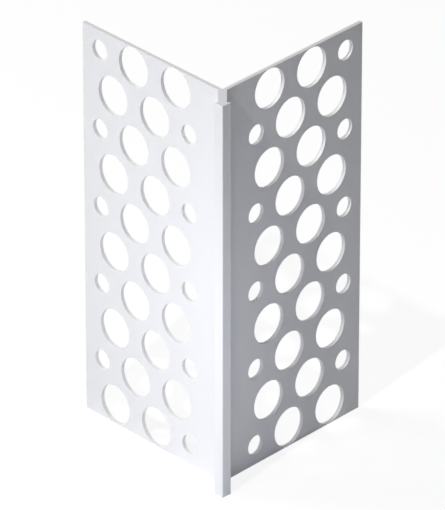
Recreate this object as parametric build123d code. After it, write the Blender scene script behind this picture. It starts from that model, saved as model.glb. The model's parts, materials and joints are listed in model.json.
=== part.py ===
from build123d import *
import math
import os

# A rigid PVC angle bead: two perforated wings and an arrow-shaped nose, extruded as one piece.
#
# The section lies in the XY plane and is drawn out along +Z. The origin is the arris, the line where
# the back faces of the two wings meet, at the lower end of the piece. The nose points along -Y and
# the wings spread back along +Y, so the YZ plane is the plane of symmetry.

# Driving dimensions, in millimetres and degrees
length = 100.0  # the piece as it was cut from the stock

wing_width = 45.7  # along the back face, from the arris to the free edge
wing_thickness = 1.0
wing_angle = 85.0  # between the back faces, sprung a little closed to grip a square corner

stand_off = 6.0  # from the faces of a square corner out to the finished faces of the nose
stem_thickness = 2.0  # the web that carries the nose
barb_overhang = 1.0  # how far each barb of the nose stands out of the stem
nose_angle = 90.0  # between the two finished faces of the nose

arris_radius = 0.2  # the inside corner between the wings
root_radius = 0.35  # where the wings run into the stem
barb_radius = 0.1
tip_radius = 0.2
free_edge_radius = 0.2

key_hole_diameter = 9.7  # the large holes
nail_hole_diameter = 4.9  # the small holes along both sides of the pattern
row_pitch = 10.0  # along the length, between two staggered rows
column_pitch = 7.0  # across the wing, between two columns of key holes
nail_hole_step = 4.4  # from the outermost column of key holes to the nail holes beside it
least_nose_margin = 9.5  # from the arris to the nearest nail hole's centre
least_edge_margin = 5.2  # from the free edge to the nearest nail hole's centre
least_end_web = 0.1  # wing left between a key hole and a cut end
punch_clearance = 0.5  # how far the punch runs past each face of the wing

# Directions that follow from the wing angle, for the wing at +X
half_opening = math.radians(wing_angle / 2)
along_wing = Vector(math.sin(half_opening), math.cos(half_opening))
out_of_wing = Vector(math.cos(half_opening), -math.sin(half_opening))

# The nose, measured along the bisector from the arris
half_nose = math.radians(nose_angle / 2)
barb_reach = stem_thickness / 2 + barb_overhang
tip_depth = stand_off / math.sin(half_nose)
barb_depth = tip_depth - barb_reach / math.tan(half_nose)


def mirrored(point):
    """The same point on the other side of the plane of symmetry."""
    return Vector(-point.X, point.Y)


def bead_section():
    """The extruded section: wings, stem and nose in one outline with its corners rounded."""
    arris = Vector(0, 0)
    edge_back = along_wing * wing_width
    edge_front = edge_back + out_of_wing * wing_thickness
    front_of_arris = out_of_wing * wing_thickness
    root_run = (stem_thickness / 2 - front_of_arris.X) / along_wing.X
    root = front_of_arris + along_wing * root_run
    barb_root = Vector(stem_thickness / 2, -barb_depth)
    barb = Vector(barb_reach, -barb_depth)
    tip = Vector(0, -tip_depth)

    right_side = [edge_back, edge_front, root, barb_root, barb]
    left_side = [mirrored(point) for point in reversed(right_side)]
    section = make_face(Polyline(arris, *right_side, tip, *left_side, close=True))

    rounding = [
        (arris_radius, [arris]),
        (free_edge_radius, [edge_back, edge_front]),
        (root_radius, [root]),
        (barb_radius, [barb_root, barb]),
        (tip_radius, [tip]),
    ]
    for radius, points in rounding:
        both_sides = points + [mirrored(point) for point in points if point.X > 0]
        corners = [section.vertices().sort_by_distance(point)[0] for point in both_sides]
        section = fillet(corners, radius)
    return section


def hole_rows():
    """The heights of the rows of holes, from the top down, with the same margin at both ends."""
    room = length - key_hole_diameter - 2 * least_end_web
    gaps = int(room // row_pitch)
    top_row = (length + gaps * row_pitch) / 2
    return [top_row - row * row_pitch for row in range(gaps + 1)]


def hole_places():
    """(distance across the wing, height, diameter) of each hole in one wing.

    Columns of key holes take every other row in turn. Along each side of the pattern, nail holes
    sit in the rows that the outermost column of key holes leaves free.
    """
    first = least_nose_margin + nail_hole_step
    last = wing_width - least_edge_margin - nail_hole_step
    column_gaps = int((last - first) // column_pitch)
    nose_column = (first + last - column_gaps * column_pitch) / 2
    columns = [nose_column + column * column_pitch for column in range(column_gaps + 1)]
    places = []
    for row, height in enumerate(hole_rows()):
        for column, distance in enumerate(columns):
            if (row + column) % 2 == 0:
                places.append((distance, height, key_hole_diameter))
        if row % 2 == 1:
            places.append((columns[0] - nail_hole_step, height, nail_hole_diameter))
        if (row + column_gaps) % 2 == 1:
            places.append((columns[-1] + nail_hole_step, height, nail_hole_diameter))
    return places


def punches(side):
    """The cylinders that punch one wing: side is 1 for the wing at +X and -1 for the wing at -X."""
    outward = Vector(side * out_of_wing.X, out_of_wing.Y)
    across = Vector(side * along_wing.X, along_wing.Y)
    middle = outward * (wing_thickness / 2)
    stroke = wing_thickness + 2 * punch_clearance
    tools = []
    for distance, height, diameter in hole_places():
        centre = middle + across * distance + Vector(0, 0, height)
        tools.append(Plane(centre, x_dir=across, z_dir=outward) * Cylinder(diameter / 2, stroke))
    return tools


def angle_bead():
    """The whole bead: the section drawn out to its length, then both wings punched."""
    stock = extrude(bead_section(), length)
    return stock - [tool for side in (1, -1) for tool in punches(side)]


def main():
    os.makedirs("parts", exist_ok=True)
    bead = angle_bead()
    export_step(bead, "parts/angle_bead.step")
    print("angle_bead volume", round(bead.volume, 1), "mm3")


if __name__ == "__main__":
    main()
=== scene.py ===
"""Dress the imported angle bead: a satin white PVC extrusion with punched wings, on a pale studio floor."""

import json
import math
import random

import bmesh
import bpy
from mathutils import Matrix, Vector, geometry


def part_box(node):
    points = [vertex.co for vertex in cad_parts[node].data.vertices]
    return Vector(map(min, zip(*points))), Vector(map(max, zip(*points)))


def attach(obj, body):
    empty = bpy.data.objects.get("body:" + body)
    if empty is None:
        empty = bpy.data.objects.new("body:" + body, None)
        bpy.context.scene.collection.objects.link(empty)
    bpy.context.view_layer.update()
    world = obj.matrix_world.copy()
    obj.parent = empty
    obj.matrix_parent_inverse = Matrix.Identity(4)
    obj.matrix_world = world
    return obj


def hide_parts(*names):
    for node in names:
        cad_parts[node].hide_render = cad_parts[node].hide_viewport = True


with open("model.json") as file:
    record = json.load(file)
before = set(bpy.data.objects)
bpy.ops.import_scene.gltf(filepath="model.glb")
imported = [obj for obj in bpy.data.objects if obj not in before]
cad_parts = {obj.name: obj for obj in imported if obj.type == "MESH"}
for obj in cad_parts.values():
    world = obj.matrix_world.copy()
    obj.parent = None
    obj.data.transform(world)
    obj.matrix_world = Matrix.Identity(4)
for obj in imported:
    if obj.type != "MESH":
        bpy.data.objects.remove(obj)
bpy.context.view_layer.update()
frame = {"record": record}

bl_info = {
    "name": "Angle Bead",
    "version": (1, 0, 0),
    "blender": (4, 5, 0),
    "location": "View3D > Sidebar > Angle Bead",
    "description": "Makes a punched PVC angle bead and the studio that it is shown in",
    "category": "Object",
}

MM = 0.001
BEAD_NODE = "angle_bead"
BEAD_PIECE = "punched_bead"
BEAD_LOW, BEAD_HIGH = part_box(BEAD_NODE)
FLOOR_PIECE = "studio_floor"
WALL_DEPTH = "wall_depth"

# The order of the finishes in the bead's material slots
DRAWN, PUNCHED, SAWN = range(3)

# Each wing's side, +X or -X, and the numbers of its back and front faces, clockwise round the section
WINGS = ((1, 0, 1), (-1, 3, 2))

# How finely rounds, holes, the length and the wings' faces are divided
CORNER_STEPS = 6
END_ROUND_STEPS = 2
FRONT_RIM_STEPS = 3
BACK_RIM_STEPS = 2
HOLE_STEPS = 72
LENGTH_STEPS = 20
WING_STEPS = 12

# How a flat face is cut up: triangles inside its rings, and how close points merge, in millimetres
TRIANGLES_INSIDE = 1
MERGE_DISTANCE = 1e-6

# Waves round a hole of the line where its wall tore: (how many, swing as a share of the thickness)
TEAR_WAVES = ((2, 0.05), (5, 0.03), (11, 0.02))
TEAR_SEED = 7

# Shares of the way through a hole's wall where its finish starts to look torn, and is wholly torn
TEAR_STARTS = 0.52
TEAR_ENDS = 0.66

# Noise cells per metre along X, Y and Z
DIE_LINES = (900.0, 900.0, 2.0)
FINE_LINES = (4200.0, 4200.0, 6.0)
SKIN_GRAIN = (2600.0, 2600.0, 2600.0)
TONE_DRIFT = (30.0, 30.0, 14.0)
TORN_GRAIN = (5200.0, 5200.0, 5200.0)
SAW_STROKES = (260.0, 3400.0, 260.0)
SAW_CHATTER = (1500.0, 1500.0, 1500.0)

# Detail of the noise in broken textures and in smooth ones, and the value that any noise wanders about
BROKEN = 3.0
SMOOTH = 2.0
NOISE_MEAN = 0.5

# How strongly the finer textures show beside the main one of each finish
FINE_SHARE = 0.3
TORN_PALENESS = 0.3
CLEAN_CUT_GRAIN = 0.2
CHATTER_SHARE = 0.4

PVC_IOR = 1.53

# Sockets of a Mix node that are for colours
MIX_FIRST = 6
MIX_SECOND = 7
MIX_RESULT = 2

# The camera's lens and sensor, in millimetres, and how far it sees, in metres
LENS = 494.6
SENSOR = 36.0
SIGHT = 100.0

FLOOR_SIDES = 96
WHITE = (1.0, 1.0, 1.0, 1.0)

# Colours of the lamps' light
NEUTRAL = (1.0, 1.0, 1.0)
COOL = (0.80, 0.84, 1.0)

# Each lamp's place and width, in metres, and its colour. They all face the bead
LAMPS = {
    "key": ((-0.521, 0.190, 0.759), 0.40, NEUTRAL),
    "rear": ((-0.683, 0.573, 0.205), 0.40, NEUTRAL),
    "front": ((-0.170, -0.248, 0.427), 0.01, NEUTRAL),
    "low_left": ((-0.069, -0.058, 0.040), 0.03, NEUTRAL),
    "low_front": ((0.0, -0.070, 0.040), 0.03, COOL),
}


def hole_diameter(mount_start):
    """The diameter, in millimetres, that the record states for a kind of hole."""
    for mount in frame["record"]["mounts"]:
        if mount["name"].startswith(mount_start):
            return 2 * mount["dims"]["r_mm"]
    raise ValueError(f"the record has no mount that starts with {mount_start}")


def length_property(name, description, millimetres):
    """A size of the bead, given in millimetres and kept in metres."""
    return bpy.props.FloatProperty(
        name=name,
        description=description,
        default=millimetres * MM,
        min=0.0,
        precision=5,
        unit="LENGTH",
    )


def angle_property(name, description, degrees):
    """An angle, given in degrees and kept in radians."""
    return bpy.props.FloatProperty(
        name=name,
        description=description,
        default=math.radians(degrees),
        subtype="ANGLE",
        unit="ROTATION",
    )


def colour_property(name, description, colour):
    """A colour in linear light."""
    return bpy.props.FloatVectorProperty(
        name=name,
        description=description,
        default=colour,
        size=3,
        min=0.0,
        max=1.0,
        subtype="COLOR",
    )


def share_property(name, description, share):
    """A number from 0 to 1."""
    return bpy.props.FloatProperty(
        name=name,
        description=description,
        default=share,
        min=0.0,
        max=1.0,
        subtype="FACTOR",
    )


def level_property(name, description, level):
    """A brightness, where 1 is white."""
    return bpy.props.FloatProperty(
        name=name,
        description=description,
        default=level,
        min=0.0,
    )


def power_property(name, description, watts):
    """The power of a lamp."""
    return bpy.props.FloatProperty(
        name=name,
        description=description,
        default=watts,
        min=0.0,
        unit="POWER",
    )


KEY_HOLE = hole_diameter("key_hole")
NAIL_HOLE = hole_diameter("nail_hole")


class BeadSizes(bpy.types.PropertyGroup):
    """The sizes of the bead, as it is drawn, punched and cut."""

    length: length_property("Length", "From one sawn end to the other", BEAD_HIGH.z / MM)
    wing_width: length_property("Wing width", "Along the back face, from the arris to the free edge", 45.7)
    wing_thickness: length_property("Wing thickness", "Between the two faces of a wing", 1.0)
    wing_angle: angle_property("Wing angle", "Between the back faces of the wings", 85.0)
    stand_off: length_property("Stand-off", "From a square corner's face to the nose's finished face", 6.0)
    stem_thickness: length_property("Stem thickness", "Of the web that carries the nose", 2.0)
    barb_overhang: length_property("Barb overhang", "How far each barb stands out of the stem", 1.0)
    nose_angle: angle_property("Nose angle", "Between the two finished faces of the nose", 90.0)
    arris_radius: length_property("Arris radius", "Of the inside corner between the wings", 0.2)
    root_radius: length_property("Root radius", "Where the wings run into the stem", 0.35)
    barb_radius: length_property("Barb radius", "Of the corners under and on the barbs", 0.1)
    tip_radius: length_property("Tip radius", "Of the nose's leading edge", 0.2)
    free_edge_radius: length_property("Free edge radius", "Of both corners of a wing's free edge", 0.2)
    end_radius: length_property("End radius", "Of the edges that the saw leaves", 0.03)
    key_hole_diameter: length_property("Key hole", "Diameter of the large holes", KEY_HOLE)
    nail_hole_diameter: length_property("Nail hole", "Diameter of the small holes", NAIL_HOLE)
    row_pitch: length_property("Row pitch", "Along the length, between staggered rows", 10.0)
    column_pitch: length_property("Column pitch", "Across the wing, between columns of key holes", 7.0)
    nail_hole_step: length_property("Nail hole step", "From the outer key holes to the nail holes", 4.4)
    pattern_centre: length_property("Pattern centre", "From the arris to the middle of the holes", 25.0)
    end_web: length_property("End web", "Least width of wing between a key hole and a sawn end", 0.1)
    front_rim: length_property("Front rim", "Radius of the edge that the punch rolls over", 0.08)
    back_rim: length_property("Back rim", "Radius of the edge where the punch breaks out", 0.05)
    tear_flare: length_property("Tear flare", "How far a hole widens where its wall tore", 0.03)
    tear_depth: share_property("Tear depth", "Share of the wall that is cut clean before it tears", 0.58)


class BeadFinish(bpy.types.PropertyGroup):
    """The colours and gloss of the PVC."""

    drawn_colour: colour_property("Drawn faces", "Colour of the faces from the die", (0.856, 0.864, 0.888))
    # The punched walls' colour is paler than the drawn faces': partly stress-whitened PVC, partly painted
    # light that brightens the walls.
    punched_colour: colour_property("Punched walls", "Colour of the holes' walls", (0.93, 0.93, 0.94))
    # The sawn ends' colour is set darker than the drawn faces' as painted shade on the ends.
    sawn_colour: colour_property("Sawn ends", "Colour of the cut ends", (0.77, 0.76, 0.77))
    drawn_roughness: share_property("Drawn roughness", "Roughness of the drawn faces", 0.42)
    punched_roughness: share_property("Punched roughness", "Roughness of the holes' walls", 0.55)
    sawn_roughness: share_property("Sawn roughness", "Roughness of the cut ends", 0.62)
    roughness_spread: share_property("Roughness spread", "How far the roughness wanders", 0.09)
    drawn_shade: share_property("Drawn shade", "How much darker the drawn faces get in places", 0.035)
    punched_shade: share_property("Punched shade", "How much darker the clean cut walls are", 0.06)
    sawn_shade: share_property("Sawn shade", "How much darker the saw's strokes are", 0.07)
    die_depth: length_property("Die lines", "Depth of the lines that the die leaves", 0.004)
    torn_depth: length_property("Torn grain", "Depth of the grain on the torn walls", 0.02)
    saw_depth: length_property("Saw lines", "Depth of the lines that the saw leaves", 0.012)


class StageSettings(bpy.types.PropertyGroup):
    """The camera, the lamps and the floor."""

    aim_height: length_property("Aim height", "Where the camera's line of sight meets the arris", 58.17)
    camera_distance: length_property("Camera distance", "From the camera to that point", 1569.25)
    camera_elevation: angle_property("Camera elevation", "Of the camera above the floor", 28.597)
    floor_radius: length_property("Floor radius", "Of the round floor", 2500.0)
    floor_colour: colour_property("Floor colour", "Colour of the floor", (0.9, 0.9, 0.9))
    floor_lift: share_property("Floor lift", "How far the seen floor is lifted to white", 0.75)
    floor_glow: level_property("Floor glow", "Brightness that the seen floor is lifted to", 1.14)
    key_power: power_property("Key lamp", "Power of the large lamp above, on the left", 4.1)
    rear_power: power_property("Rear lamp", "Power of the large lamp behind, on the left", 1.0)
    front_power: power_property("Front lamp", "Power of the small lamp in front", 1.0)
    low_left_power: power_property("Low left lamp", "Power of the low lamp on the left", 0.0142)
    low_front_power: power_property("Low front lamp", "Power of the low lamp in front", 0.0145)


# Section and hole pattern


class OutlinePoint:
    """A point of the section's outline, its outward normal and the wing face it lies on, if any."""

    def __init__(self, place, normal, face=None):
        self.place = place
        self.normal = normal
        self.face = face


def mirrored(point):
    """The same point of the section on the other side of the plane of symmetry."""
    return Vector((-point.x, point.y))


def wing_directions(sizes):
    """Unit vectors along the wing at +X, from the arris, and out of its front face."""
    half_opening = sizes.wing_angle / 2
    along = Vector((math.sin(half_opening), math.cos(half_opening)))
    out = Vector((math.cos(half_opening), -math.sin(half_opening)))
    return along, out


def section_corners(sizes):
    """The sharp corners of the section, each with its radius, clockwise from the arris."""
    along, out = wing_directions(sizes)
    half_nose = sizes.nose_angle / 2
    barb_reach = sizes.stem_thickness / 2 + sizes.barb_overhang
    tip_depth = sizes.stand_off / math.sin(half_nose)
    barb_depth = tip_depth - barb_reach / math.tan(half_nose)

    edge_back = along * sizes.wing_width
    edge_front = edge_back + out * sizes.wing_thickness
    front_of_arris = out * sizes.wing_thickness
    root_run = (sizes.stem_thickness / 2 - front_of_arris.x) / along.x
    right_side = [
        (edge_back, sizes.free_edge_radius),
        (edge_front, sizes.free_edge_radius),
        (front_of_arris + along * root_run, sizes.root_radius),
        (Vector((sizes.stem_thickness / 2, -barb_depth)), sizes.barb_radius),
        (Vector((barb_reach, -barb_depth)), sizes.barb_radius),
    ]
    left_side = [(mirrored(place), radius) for place, radius in reversed(right_side)]
    arris = (Vector((0, 0)), sizes.arris_radius)
    tip = (Vector((0, -tip_depth)), sizes.tip_radius)
    return [arris, *right_side, tip, *left_side]


def left_of(direction):
    """The direction turned a quarter turn anticlockwise: outwards, beside a clockwise outline."""
    return Vector((-direction.y, direction.x))


def rounded_corner(before, corner, after, radius):
    """The outline's points round one corner, from the run that ends there to the one that starts there."""
    heading_in = (corner - before).normalized()
    heading_out = (after - corner).normalized()
    turn = heading_in.angle_signed(heading_out)
    bisector = (heading_out - heading_in).normalized()
    centre = corner + bisector * (radius / math.cos(turn / 2))
    convex = 1 if heading_in.cross(heading_out) < 0 else -1
    start = left_of(heading_in)
    end = left_of(heading_out)
    points = []
    for step in range(CORNER_STEPS + 1):
        normal = start.slerp(end, step / CORNER_STEPS)
        points.append(OutlinePoint(centre + normal * radius * convex, normal))
    return points


def section_outline(sizes):
    """The rounded outline. Points between the ends of a wing's face carry that face's number."""
    corners = section_corners(sizes)
    arcs = []
    for index, (place, radius) in enumerate(corners):
        before = corners[index - 1][0]
        after = corners[(index + 1) % len(corners)][0]
        arcs.append(rounded_corner(before, place, after, radius))
    outline = []
    faces = 0
    for index, arc in enumerate(arcs):
        outline += arc
        start = arc[-1]
        end = arcs[(index + 1) % len(arcs)][0]
        run = end.place - start.place
        if run.length > sizes.wing_width / 2:
            for step in range(1, WING_STEPS):
                place = start.place + run * (step / WING_STEPS)
                outline.append(OutlinePoint(place, start.normal, faces))
            faces += 1
    return outline


def hole_places(sizes):
    """(distance across the wing, height, diameter) of each hole in one wing.

    Columns of key holes take every other row in turn. Along each side of the pattern, nail holes
    sit in the rows that the outermost column of key holes leaves free.
    """
    room = sizes.length - sizes.key_hole_diameter - 2 * sizes.end_web
    row_gaps = int(room // sizes.row_pitch)
    top_row = (sizes.length + row_gaps * sizes.row_pitch) / 2
    reach = min(sizes.pattern_centre, sizes.wing_width - sizes.pattern_centre)
    column_gaps = int(2 * (reach - sizes.nail_hole_step - sizes.nail_hole_diameter) // sizes.column_pitch)
    nose_column = sizes.pattern_centre - column_gaps * sizes.column_pitch / 2
    edge_column = sizes.pattern_centre + column_gaps * sizes.column_pitch / 2
    places = []
    for row in range(row_gaps + 1):
        height = top_row - row * sizes.row_pitch
        for column in range(column_gaps + 1):
            if (row + column) % 2 == 0:
                distance = nose_column + column * sizes.column_pitch
                places.append((distance, height, sizes.key_hole_diameter))
        if row % 2 == 1:
            places.append((nose_column - sizes.nail_hole_step, height, sizes.nail_hole_diameter))
        if (row + column_gaps) % 2 == 1:
            places.append((edge_column + sizes.nail_hole_step, height, sizes.nail_hole_diameter))
    return places


# The bead's mesh


class BeadMesh:
    """Gathers the bead's points, with their normals, and the faces between them."""

    def __init__(self):
        self.points = []
        self.normals = []
        self.depths = []
        self.faces = []
        self.finishes = []

    def point(self, place, normal, depth=0.0):
        """Add a point and return its number. depth is its share of the way through a hole's wall."""
        self.points.append(place)
        self.normals.append(normal)
        self.depths.append(depth)
        return len(self.points) - 1

    def face(self, corners, finish):
        """Add one face between numbered points."""
        self.faces.append(corners)
        self.finishes.append(finish)

    def band(self, first, second, finish):
        """Add the four-sided faces between two closed rings with as many points."""
        for index in range(len(first)):
            following = (index + 1) % len(first)
            self.face((first[index], first[following], second[following], second[index]), finish)

    def fill(self, flatten, outer, holes, finish):
        """Add the triangles inside one ring of points and outside the round rings of the holes in it.

        flatten gives a point's place in the flat of the face. A triangle with all its corners on one
        hole's ring lies in that hole, so it is left out.
        """
        rings = [outer, *holes]
        numbers = []
        owners = []
        sides = []
        for owner, ring in enumerate(rings):
            first = len(numbers)
            numbers += ring
            owners += [owner] * len(ring)
            sides += [(first + index, first + (index + 1) % len(ring)) for index in range(len(ring))]
        flat = [flatten(self.points[number]) / MM for number in numbers]
        made = geometry.delaunay_2d_cdt(flat, sides, [], TRIANGLES_INSIDE, MERGE_DISTANCE)
        triangles, origins = made[2], made[3]
        for triangle in triangles:
            corners = [origins[corner][0] for corner in triangle]
            touched = {owners[corner] for corner in corners}
            if len(touched) > 1 or 0 in touched:
                self.face([numbers[corner] for corner in corners], finish)

    def build(self, name):
        """Make the Blender mesh."""
        mesh = bpy.data.meshes.new(name)
        mesh.from_pydata(self.points, [], self.faces)
        mesh.polygons.foreach_set("material_index", self.finishes)
        shaped = bmesh.new()
        shaped.from_mesh(mesh)
        bmesh.ops.recalc_face_normals(shaped, faces=shaped.faces)
        shaped.to_mesh(mesh)
        shaped.free()
        mesh.polygons.foreach_set("use_smooth", [True] * len(mesh.polygons))
        mesh.normals_split_custom_set_from_vertices(self.normals)
        depth = mesh.attributes.new(WALL_DEPTH, "FLOAT", "POINT")
        depth.data.foreach_set("value", self.depths)
        mesh.update()
        return mesh


class Wing:
    """One wing's frame: side is 1 for the wing at +X and -1 for the wing at -X."""

    def __init__(self, sizes, side):
        along, out = wing_directions(sizes)
        self.along = Vector((side * along.x, along.y, 0))
        self.out = Vector((side * out.x, out.y, 0))
        self.front_offset = sizes.wing_thickness

    def place(self, distance, height, depth):
        """The point at a distance from the arris and a height, at a depth behind the front face."""
        return self.along * distance + self.out * (self.front_offset - depth) + Vector((0, 0, height))

    def flatten(self, point):
        """A point's distance from the arris and its height."""
        return Vector((point.dot(self.along), point.z))


def wall_profile(sizes, tear_depth):
    """A hole's wall from front to back: (how far outside the bore, depth, lean of the normal).

    The lean turns from 0 on the front face through a quarter turn on the wall to a half turn on the
    back face.
    """
    quarter = math.pi / 2
    profile = []
    for step in range(FRONT_RIM_STEPS + 1):
        lean = quarter * step / FRONT_RIM_STEPS
        widening = sizes.front_rim * (1 - math.sin(lean))
        depth = sizes.front_rim * (1 - math.cos(lean))
        profile.append((widening, depth, lean))
    profile.append((0.0, tear_depth, quarter))
    profile.append((sizes.tear_flare, tear_depth + sizes.tear_flare, quarter))
    for step in range(BACK_RIM_STEPS + 1):
        lean = quarter * step / BACK_RIM_STEPS
        widening = sizes.tear_flare + sizes.back_rim * (1 - math.cos(lean))
        depth = sizes.wing_thickness - sizes.back_rim * (1 - math.sin(lean))
        profile.append((widening, depth, quarter + lean))
    return profile


def punch_hole(bead, sizes, wing, hole, draw):
    """Add one hole's wall and return its rings on the front face and the back face."""
    distance, height, diameter = hole
    waves = [(count, swing, draw.uniform(0, 2 * math.pi)) for count, swing in TEAR_WAVES]
    columns = []
    for step in range(HOLE_STEPS):
        turn = 2 * math.pi * step / HOLE_STEPS
        strayed = sum(swing * math.sin(count * turn + phase) for count, swing, phase in waves)
        tear_depth = sizes.wing_thickness * (sizes.tear_depth + strayed)
        outward = wing.along * math.cos(turn) + Vector((0, 0, math.sin(turn)))
        column = []
        for widening, depth, lean in wall_profile(sizes, tear_depth):
            radius = diameter / 2 + widening
            place = wing.place(distance + radius * math.cos(turn), height + radius * math.sin(turn), depth)
            normal = wing.out * math.cos(lean) - outward * math.sin(lean)
            column.append(bead.point(place, normal, depth / sizes.wing_thickness))
        columns.append(column)
    rings = list(zip(*columns))
    for first, second in zip(rings, rings[1:]):
        bead.band(first, second, PUNCHED)
    return rings[0], rings[-1]


def draw_sides(bead, sizes, outline):
    """Add the drawn faces but for the wings' flat ones, and return the rings of points of every height.

    A ring holds None in place of a point inside a wing's flat face, but for the first and last rings.
    """
    low = sizes.end_radius
    run = sizes.length - 2 * sizes.end_radius
    rings = []
    for step in range(LENGTH_STEPS + 1):
        at_end = step in (0, LENGTH_STEPS)
        ring = []
        for point in outline:
            if point.face is None or at_end:
                place = Vector((point.place.x, point.place.y, low + run * step / LENGTH_STEPS))
                ring.append(bead.point(place, Vector((point.normal.x, point.normal.y, 0))))
            else:
                ring.append(None)
        rings.append(ring)
    for index in range(len(outline)):
        following = (index + 1) % len(outline)
        if outline[index].face is None and outline[following].face is None:
            for lower, upper in zip(rings, rings[1:]):
                bead.face((lower[index], lower[following], upper[following], upper[index]), DRAWN)
    return rings


def close_end(bead, sizes, outline, edge_ring, top):
    """Round the edge of one sawn end and add its flat face."""
    direction = 1 if top else -1
    end = sizes.length if top else 0.0
    ring = edge_ring
    for step in range(1, END_ROUND_STEPS + 1):
        lean = math.pi / 2 * step / END_ROUND_STEPS
        inset = sizes.end_radius * (1 - math.cos(lean))
        height = end - direction * sizes.end_radius * (1 - math.sin(lean))
        following = []
        for point in outline:
            flat = point.place - point.normal * inset
            normal = Vector((*(point.normal * math.cos(lean)), direction * math.sin(lean)))
            following.append(bead.point(Vector((flat.x, flat.y, height)), normal))
        bead.band(ring, following, SAWN)
        ring = following
    bead.fill(lambda point: point.xy, ring, [], SAWN)


def wing_face_ring(outline, rings, face):
    """The ring of points round one flat face of a wing."""
    inside = [index for index, point in enumerate(outline) if point.face == face]
    first = inside[0] - 1
    last = (inside[-1] + 1) % len(outline)
    bottom = [rings[0][index] for index in inside]
    top = [rings[-1][index] for index in inside]
    up = [ring[last] for ring in rings]
    down = [ring[first] for ring in rings]
    return bottom + up + top[::-1] + down[::-1]


def bead_mesh(sizes):
    """The whole bead: drawn sides, punched wings and sawn ends in one closed mesh."""
    bead = BeadMesh()
    outline = section_outline(sizes)
    rings = draw_sides(bead, sizes, outline)
    close_end(bead, sizes, outline, rings[0], top=False)
    close_end(bead, sizes, outline, rings[-1], top=True)

    draw = random.Random(TEAR_SEED)
    for side, back_face, front_face in WINGS:
        wing = Wing(sizes, side)
        front_holes = []
        back_holes = []
        for hole in hole_places(sizes):
            front_ring, back_ring = punch_hole(bead, sizes, wing, hole, draw)
            front_holes.append(front_ring)
            back_holes.append(back_ring)
        bead.fill(wing.flatten, wing_face_ring(outline, rings, front_face), front_holes, DRAWN)
        bead.fill(wing.flatten, wing_face_ring(outline, rings, back_face), back_holes, DRAWN)
    return bead.build(BEAD_PIECE)


# Materials


class Signal:
    """A socket that gives a value. Arithmetic on signals adds Math nodes."""

    def __init__(self, recipe, socket):
        self.recipe = recipe
        self.socket = socket

    def math(self, operation, first, second):
        """The result of a Math node on two signals or numbers."""
        sockets = {0: first, 1: second}
        return self.recipe.node("ShaderNodeMath", {"operation": operation}, sockets)

    def __add__(self, other):
        return self.math("ADD", self, other)

    def __radd__(self, other):
        return self.math("ADD", other, self)

    def __sub__(self, other):
        return self.math("SUBTRACT", self, other)

    def __rsub__(self, other):
        return self.math("SUBTRACT", other, self)

    def __mul__(self, other):
        return self.math("MULTIPLY", self, other)

    def __rmul__(self, other):
        return self.math("MULTIPLY", other, self)


class Recipe:
    """The nodes of one material or of the world."""

    def __init__(self, owner):
        owner.use_nodes = True
        self.tree = owner.node_tree
        self.tree.nodes.clear()

    def node(self, kind, settings=None, sockets=None, output=0):
        """Add a node. Its settings come first, then the values or links of its sockets."""
        made = self.tree.nodes.new(kind)
        for name, value in (settings or {}).items():
            setattr(made, name, value)
        for name, value in (sockets or {}).items():
            if isinstance(value, Signal):
                self.tree.links.new(value.socket, made.inputs[name])
            else:
                made.inputs[name].default_value = value
        return Signal(self, made.outputs[output]) if made.outputs else None

    def place(self, stretch):
        """The place on the object in metres, stretched along each axis."""
        where = self.node("ShaderNodeTexCoord", output="Object")
        settings = {"operation": "MULTIPLY"}
        return self.node("ShaderNodeVectorMath", settings, {0: where, 1: stretch})

    def noise(self, stretch, detail):
        """Noise about NOISE_MEAN over the object's own frame."""
        sockets = {"Vector": self.place(stretch), "Scale": 1.0, "Detail": detail}
        return self.node("ShaderNodeTexNoise", {"noise_dimensions": "3D"}, sockets)

    def tinted(self, colour, shade, signal):
        """The colour where the signal is 0 and its shade where the signal is 1."""
        settings = {"data_type": "RGBA"}
        sockets = {"Factor": signal, MIX_FIRST: (*colour, 1.0), MIX_SECOND: (*shade, 1.0)}
        return self.node("ShaderNodeMix", settings, sockets, output=MIX_RESULT)

    def bump(self, height, distance):
        """A normal that follows the height, which is in units of the distance."""
        sockets = {"Strength": 1.0, "Distance": distance, "Height": height}
        return self.node("ShaderNodeBump", sockets=sockets)


def shaded(colour, share):
    """A colour with that share of its light taken away."""
    return tuple(channel * (1 - share) for channel in colour)


def mean(first, second):
    """The mean of two signals."""
    return (first + second) * 0.5


def wander(first, second):
    """How far the sum of two signals lies from that of two mean noises."""
    return first + second - 2 * NOISE_MEAN


def pvc(recipe, base, roughness, normal):
    """Give the recipe a rigid PVC surface with these signals."""
    sockets = {"Base Color": base, "Roughness": roughness, "Normal": normal, "IOR": PVC_IOR}
    surface = recipe.node("ShaderNodeBsdfPrincipled", sockets=sockets)
    recipe.node("ShaderNodeOutputMaterial", sockets={"Surface": surface})


def drawn_pvc(recipe, finish):
    """Faint lines along the length from the die, over a satin skin with a slow drift in tone."""
    die_lines = recipe.noise(DIE_LINES, BROKEN)
    fine_lines = recipe.noise(FINE_LINES, SMOOTH)
    skin = recipe.noise(SKIN_GRAIN, SMOOTH)
    drift = recipe.noise(TONE_DRIFT, SMOOTH)
    shade = shaded(finish.drawn_colour, finish.drawn_shade)
    base = recipe.tinted(finish.drawn_colour, shade, mean(die_lines, drift))
    roughness = finish.drawn_roughness + finish.roughness_spread * wander(die_lines, drift)
    height = die_lines + (fine_lines + skin) * FINE_SHARE
    pvc(recipe, base, roughness, recipe.bump(height, finish.die_depth))


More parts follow.
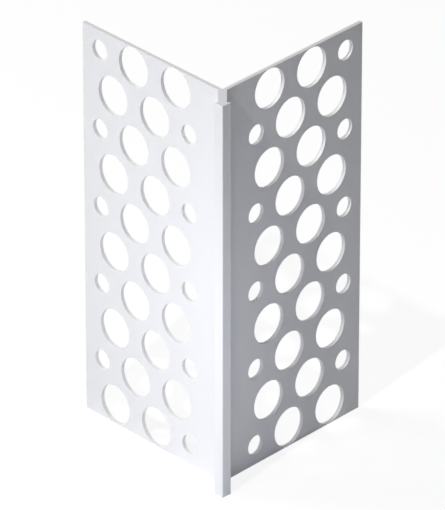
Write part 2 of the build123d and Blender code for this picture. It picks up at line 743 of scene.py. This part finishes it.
def punched_pvc(recipe, finish):
    """A clean cut band at the front of a hole's wall and a torn, paler one behind it."""
    depth = recipe.node("ShaderNodeAttribute", {"attribute_name": WALL_DEPTH}, output="Fac")
    sockets = {"Value": depth, "From Min": TEAR_STARTS, "From Max": TEAR_ENDS}
    torn = recipe.node("ShaderNodeMapRange", {"interpolation_type": "SMOOTHSTEP"}, sockets)
    grain = recipe.noise(TORN_GRAIN, BROKEN)
    # The walls' base colour is paler than the drawn faces' as stress whitening and as painted light that
    # brightens the walls.
    shade = shaded(finish.punched_colour, finish.punched_shade)
    base = recipe.tinted(shade, finish.punched_colour, torn * (grain + TORN_PALENESS))
    roughness = finish.punched_roughness + finish.roughness_spread * wander(torn, grain)
    height = grain * (torn + CLEAN_CUT_GRAIN)
    pvc(recipe, base, roughness, recipe.bump(height, finish.torn_depth))


def sawn_pvc(recipe, finish):
    """Fine lines across the end, where the saw went through from side to side."""
    strokes = recipe.noise(SAW_STROKES, BROKEN)
    chatter = recipe.noise(SAW_CHATTER, SMOOTH)
    # The base colour is darker than the drawn faces' as painted shade on the ends, and the saw's strokes
    # are darker still.
    shade = shaded(finish.sawn_colour, finish.sawn_shade)
    base = recipe.tinted(finish.sawn_colour, shade, mean(strokes, chatter))
    roughness = finish.sawn_roughness + finish.roughness_spread * wander(strokes, chatter)
    height = strokes + chatter * CHATTER_SHARE
    pvc(recipe, base, roughness, recipe.bump(height, finish.saw_depth))


def bead_finishes(finish):
    """The bead's materials, in the order of its material slots."""
    materials = []
    for fill_recipe in (drawn_pvc, punched_pvc, sawn_pvc):
        material = bpy.data.materials.new(fill_recipe.__name__)
        fill_recipe(Recipe(material), finish)
        materials.append(material)
    return materials


class ANGLEBEAD_OT_make_bead(bpy.types.Operator):
    """Draw, punch and cut the bead"""

    bl_idname = "angle_bead.make_bead"
    bl_label = "Make bead"

    def execute(self, context):
        mesh = bead_mesh(context.scene.bead_sizes)
        for material in bead_finishes(context.scene.bead_finish):
            mesh.materials.append(material)
        bead = bpy.data.objects.new(BEAD_PIECE, mesh)
        context.scene.collection.objects.link(bead)
        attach(bead, "root")
        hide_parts(BEAD_NODE)
        return {"FINISHED"}


# Stage


def seen_by_eye(recipe):
    """1 for rays from the camera, also by way of a mirror or through glass, and 0 for light's own."""
    camera = recipe.node("ShaderNodeLightPath", output="Is Camera Ray")
    glossy = recipe.node("ShaderNodeLightPath", output="Is Glossy Ray")
    through = recipe.node("ShaderNodeLightPath", output="Is Transmission Ray")
    return recipe.node("ShaderNodeClamp", sockets={"Value": camera + glossy + through})


def floor_material(stage):
    """A pale matt floor that is lifted towards white where it is seen, and keeps its shadows."""
    material = bpy.data.materials.new(FLOOR_PIECE)
    recipe = Recipe(material)
    matt = recipe.node("ShaderNodeBsdfDiffuse", sockets={"Color": (*stage.floor_colour, 1.0)})
    white = recipe.node("ShaderNodeEmission", sockets={"Color": WHITE, "Strength": stage.floor_glow})
    lift = seen_by_eye(recipe) * stage.floor_lift
    mixed = recipe.node("ShaderNodeMixShader", sockets={"Fac": lift, 1: matt, 2: white})
    recipe.node("ShaderNodeOutputMaterial", sockets={"Surface": mixed})
    return material


def set_world(scene):
    """A white surround for the eye and for the bead's gloss, which gives no other light."""
    scene.world = bpy.data.worlds.new("studio")
    recipe = Recipe(scene.world)
    white = recipe.node("ShaderNodeBackground", sockets={"Color": WHITE, "Strength": 1.0})
    dark = recipe.node("ShaderNodeBackground", sockets={"Color": WHITE, "Strength": 0.0})
    mixed = recipe.node("ShaderNodeMixShader", sockets={"Fac": seen_by_eye(recipe), 1: dark, 2: white})
    recipe.node("ShaderNodeOutputWorld", sockets={"Surface": mixed})


def add_floor(scene, stage):
    """A round floor under the bead."""
    mesh = bpy.data.meshes.new(FLOOR_PIECE)
    shaped = bmesh.new()
    bmesh.ops.create_circle(shaped, cap_ends=True, segments=FLOOR_SIDES, radius=stage.floor_radius)
    shaped.to_mesh(mesh)
    shaped.free()
    mesh.materials.append(floor_material(stage))
    floor = bpy.data.objects.new(FLOOR_PIECE, mesh)
    floor.location.z = BEAD_LOW.z
    scene.collection.objects.link(floor)


def aim(thing, target):
    """Turn a lamp or a camera to look at a point."""
    thing.rotation_euler = (target - thing.location).to_track_quat("-Z", "Y").to_euler()


def add_lamp(scene, name, power, target):
    """A square lamp that faces the bead."""
    place, width, colour = LAMPS[name]
    lamp = bpy.data.lights.new(name, "AREA")
    lamp.size = width
    lamp.energy = power
    lamp.color = colour
    holder = bpy.data.objects.new(name, lamp)
    holder.location = place
    holder.visible_camera = False
    aim(holder, target)
    scene.collection.objects.link(holder)


def add_camera(scene, stage):
    """The camera at the photograph's angle, with a long lens."""
    camera = bpy.data.cameras.new("camera")
    camera.lens = LENS
    camera.sensor_width = SENSOR
    camera.clip_end = SIGHT
    holder = bpy.data.objects.new("camera", camera)
    target = Vector((0, 0, stage.aim_height))
    back = Vector((0, -math.cos(stage.camera_elevation), math.sin(stage.camera_elevation)))
    holder.location = target + back * stage.camera_distance
    aim(holder, target)
    scene.collection.objects.link(holder)
    scene.camera = holder


class ANGLEBEAD_OT_set_stage(bpy.types.Operator):
    """Put the floor, the lamps and the camera round the bead"""

    bl_idname = "angle_bead.set_stage"
    bl_label = "Set stage"

    def execute(self, context):
        scene = context.scene
        stage = scene.bead_stage
        middle = (BEAD_LOW + BEAD_HIGH) / 2
        add_floor(scene, stage)
        set_world(scene)
        for name in LAMPS:
            add_lamp(scene, name, getattr(stage, f"{name}_power"), middle)
        add_camera(scene, stage)
        scene.view_settings.view_transform = "Standard"
        return {"FINISHED"}


class ANGLEBEAD_PT_sidebar(bpy.types.Panel):
    """Lists the bead's sizes and finishes, and what makes it"""

    bl_idname = "ANGLEBEAD_PT_sidebar"
    bl_label = "Angle Bead"
    bl_space_type = "VIEW_3D"
    bl_region_type = "UI"
    bl_category = "Angle Bead"

    def draw(self, context):
        for name, group in GROUPS.items():
            settings = getattr(context.scene, name)
            for field in group.__annotations__:
                self.layout.prop(settings, field)
        for operator in OPERATORS:
            self.layout.operator(operator.bl_idname)


OPERATORS = (ANGLEBEAD_OT_make_bead, ANGLEBEAD_OT_set_stage)
GROUPS = {"bead_sizes": BeadSizes, "bead_finish": BeadFinish, "bead_stage": StageSettings}
CLASSES = (*GROUPS.values(), *OPERATORS, ANGLEBEAD_PT_sidebar)


def register():
    """Register the classes and give the scene its groups of properties."""
    for each in CLASSES:
        bpy.utils.register_class(each)
    for name, group in GROUPS.items():
        setattr(bpy.types.Scene, name, bpy.props.PointerProperty(type=group))


def unregister():
    """Take back what register gave."""
    for name in GROUPS:
        delattr(bpy.types.Scene, name)
    for each in reversed(CLASSES):
        bpy.utils.unregister_class(each)


def main():
    """Make the bead and its stage."""
    register()
    bpy.ops.angle_bead.make_bead()
    bpy.ops.angle_bead.set_stage()


if __name__ == "__main__":
    main()
